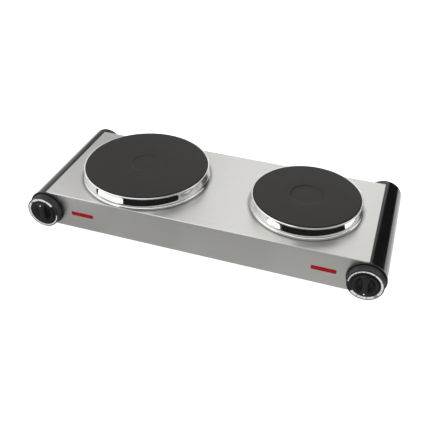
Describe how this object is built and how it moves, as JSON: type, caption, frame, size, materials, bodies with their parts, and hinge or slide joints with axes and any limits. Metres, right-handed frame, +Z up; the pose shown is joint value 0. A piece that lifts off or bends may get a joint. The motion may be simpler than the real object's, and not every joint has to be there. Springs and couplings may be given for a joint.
{
  "type": "hot plate burner",
  "caption": "Countertop electric hot plate: a large and a small cast iron plate on a folded steel housing between round end rails, with a knob on the front end of each rail.",
  "frame": {"origin": "middle of the object's footprint, on the surface that its feet stand on", "axes": "+X along the housing towards the small hot plate, +Y to the back, +Z up; the knobs face -Y"},
  "size_m": [0.523, 0.222, 0.085],
  "materials": {
    "housing_steel": "brushed stainless steel, fine grain along the housing, soft gloss",
    "galvanised_steel": "zinc-plated sheet steel, dull, faint spangle",
    "rail_black": "gloss black moulded plastic",
    "bezel_black": "gloss black moulded plastic",
    "plate_iron": "dark warm grey heat-proof coating on turned cast iron, matte with a faint sheen",
    "ring_chrome": "mirror-polished stainless steel",
    "insulating_ceramic": "unglazed off-white ceramic, matte",
    "coil_alloy": "oxidised nickel chrome sheath, dull",
    "plated_steel": "zinc-plated steel, satin",
    "lens_red": "red translucent plastic, softly glossy",
    "neon_glass": "clear glass, faint orange",
    "terminal_plastic": "off-white thermoset, matte",
    "gland_black": "black nylon, satin",
    "wire_brown": "brown silicone insulation",
    "wire_blue": "blue silicone insulation",
    "wire_grey": "grey silicone insulation",
    "wire_earth": "green and yellow insulation",
    "foot_rubber": "black rubber, matte",
    "knob_black": "black moulded plastic, satin gloss",
    "dial_silver": "satin silver foil",
    "dot_white": "white paint",
    "shaft_brass": "turned brass"
  },
  "bodies": {
    "base": {"housing_shell": "housing_steel", "base_pan": "galvanised_steel", "heat_shield": "galvanised_steel", "left_end_rail": "rail_black", "right_end_rail": "rail_black", "left_bezel": "bezel_black", "right_bezel": "bezel_black", "left_rear_cap": "rail_black", "right_rear_cap": "rail_black", "large_hotplate": "plate_iron", "small_hotplate": "plate_iron", "large_spill_ring": "ring_chrome", "small_spill_ring": "ring_chrome", "large_insulation": "insulating_ceramic", "small_insulation": "insulating_ceramic", "large_heating_coil": "coil_alloy", "small_heating_coil": "coil_alloy", "large_plate_cover": "galvanised_steel", "small_plate_cover": "galvanised_steel", "large_clamp_bridge": "galvanised_steel", "small_clamp_bridge": "galvanised_steel", "plate_studs": "plated_steel", "plate_nuts": "plated_steel", "large_terminal_block": "insulating_ceramic", "small_terminal_block": "insulating_ceramic", "large_thermal_cutout": "insulating_ceramic", "small_thermal_cutout": "insulating_ceramic", "left_thermostat_frame": "plated_steel", "right_thermostat_frame": "plated_steel", "left_thermostat_body": "insulating_ceramic", "right_thermostat_body": "insulating_ceramic", "thermostat_screws": "plated_steel", "left_lamp_lens": "lens_red", "right_lamp_lens": "lens_red", "left_neon_lamp": "neon_glass", "right_neon_lamp": "neon_glass", "mains_terminal_block": "terminal_plastic", "cord_gland": "gland_black", "gland_nut": "gland_black", "earth_screw": "plated_steel", "live_wires": "wire_brown", "neutral_wires": "wire_blue", "lamp_wires": "wire_grey", "earth_wire": "wire_earth", "front_left_foot": "foot_rubber", "front_right_foot": "foot_rubber", "rear_left_foot": "foot_rubber", "rear_right_foot": "foot_rubber", "foot_screws": "plated_steel", "base_screws": "plated_steel"},
    "left_control": {"left_knob": "knob_black", "left_dial_ring": "dial_silver", "left_pointer_dot": "dot_white", "left_knob_clip": "plated_steel", "left_thermostat_shaft": "shaft_brass"},
    "right_control": {"right_knob": "knob_black", "right_dial_ring": "dial_silver", "right_pointer_dot": "dot_white", "right_knob_clip": "plated_steel", "right_thermostat_shaft": "shaft_brass"}
  },
  "joints": [
    {"name": "left_knob_turn", "type": "hinge", "parent": "base", "child": "left_control", "pos_m": [-0.2345, -0.0935, 0.03875], "axis": [0, -1, 0], "range_deg": [0, 300]},
    {"name": "right_knob_turn", "type": "hinge", "parent": "base", "child": "right_control", "pos_m": [0.2345, -0.0935, 0.03875], "axis": [0, -1, 0], "range_deg": [0, 300]}
  ]
}
